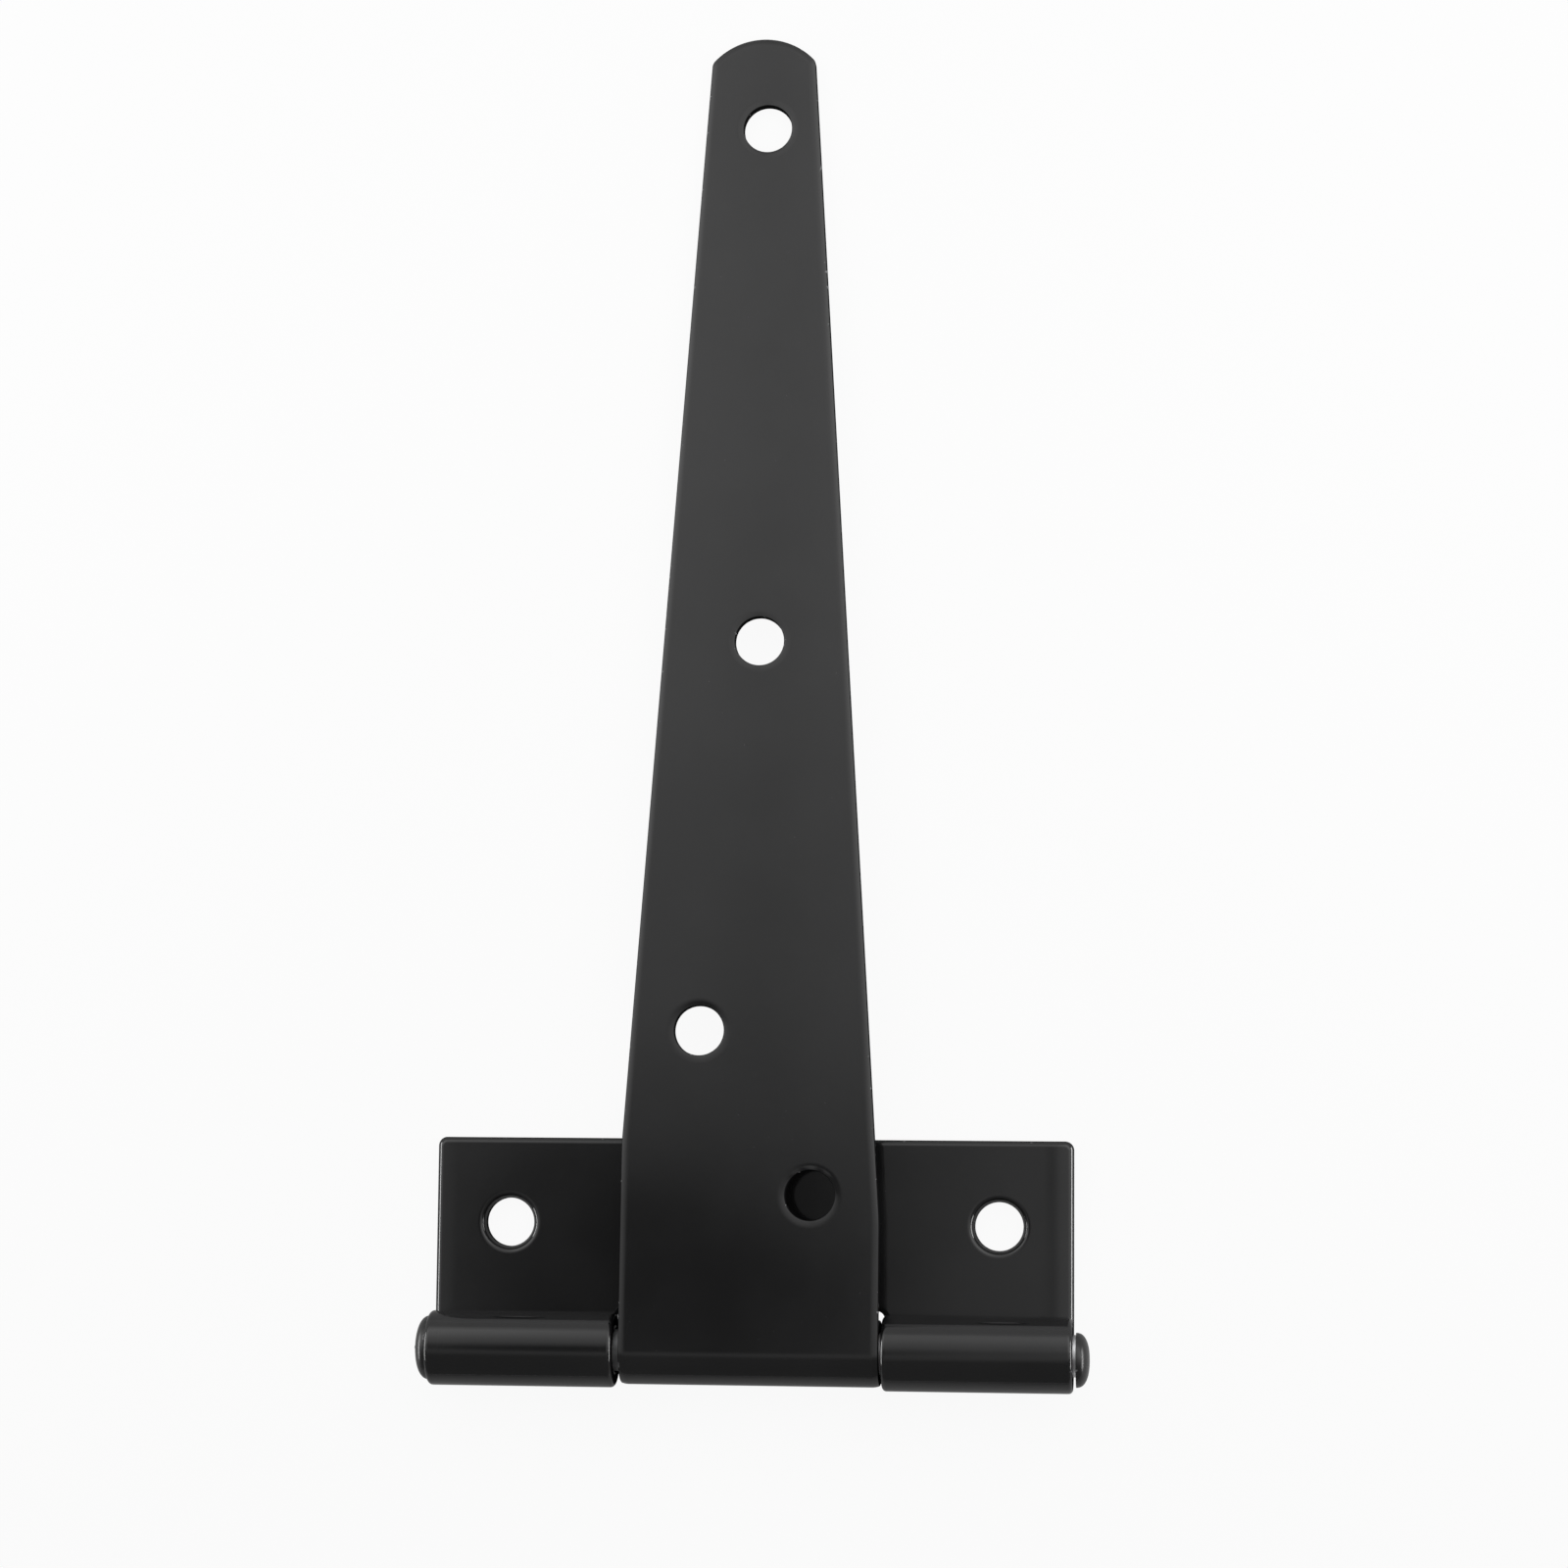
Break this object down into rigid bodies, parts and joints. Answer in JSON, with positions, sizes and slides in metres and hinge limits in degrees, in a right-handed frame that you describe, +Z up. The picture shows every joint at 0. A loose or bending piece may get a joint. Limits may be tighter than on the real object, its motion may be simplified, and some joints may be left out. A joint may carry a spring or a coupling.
{
  "type": "tee strap hinge",
  "caption": "Black coated steel tee hinge: a long tapered strap turns on a headed pin in the rolled knuckles of a short cross leaf, with staggered screw holes.",
  "frame": {"origin": "midway between the cross leaf's two screw holes, on the leaf's mounting face", "axes": "+X along the pin, +Y from the pin towards the tip of the folded strap, +Z up off the mounting face"},
  "size_m": [0.0766, 0.1572, 0.0084],
  "materials": {
    "cross_leaf_coating": "semi-gloss black coating on steel sheet",
    "strap_coating": "semi-gloss black coating on steel sheet",
    "pin_coating": "gloss black coating on a steel pin"
  },
  "bodies": {
    "cross_leaf": {"cross_leaf": "cross_leaf_coating", "hinge_pin": "pin_coating"},
    "strap": {"strap_leaf": "strap_coating"}
  },
  "joints": [
    {"name": "strap_swing", "type": "hinge", "parent": "cross_leaf", "child": "strap", "pos_m": [0, -0.01425, 0.0042], "axis": [1, 0, 0], "range_deg": [-8.8, 281]}
  ]
}
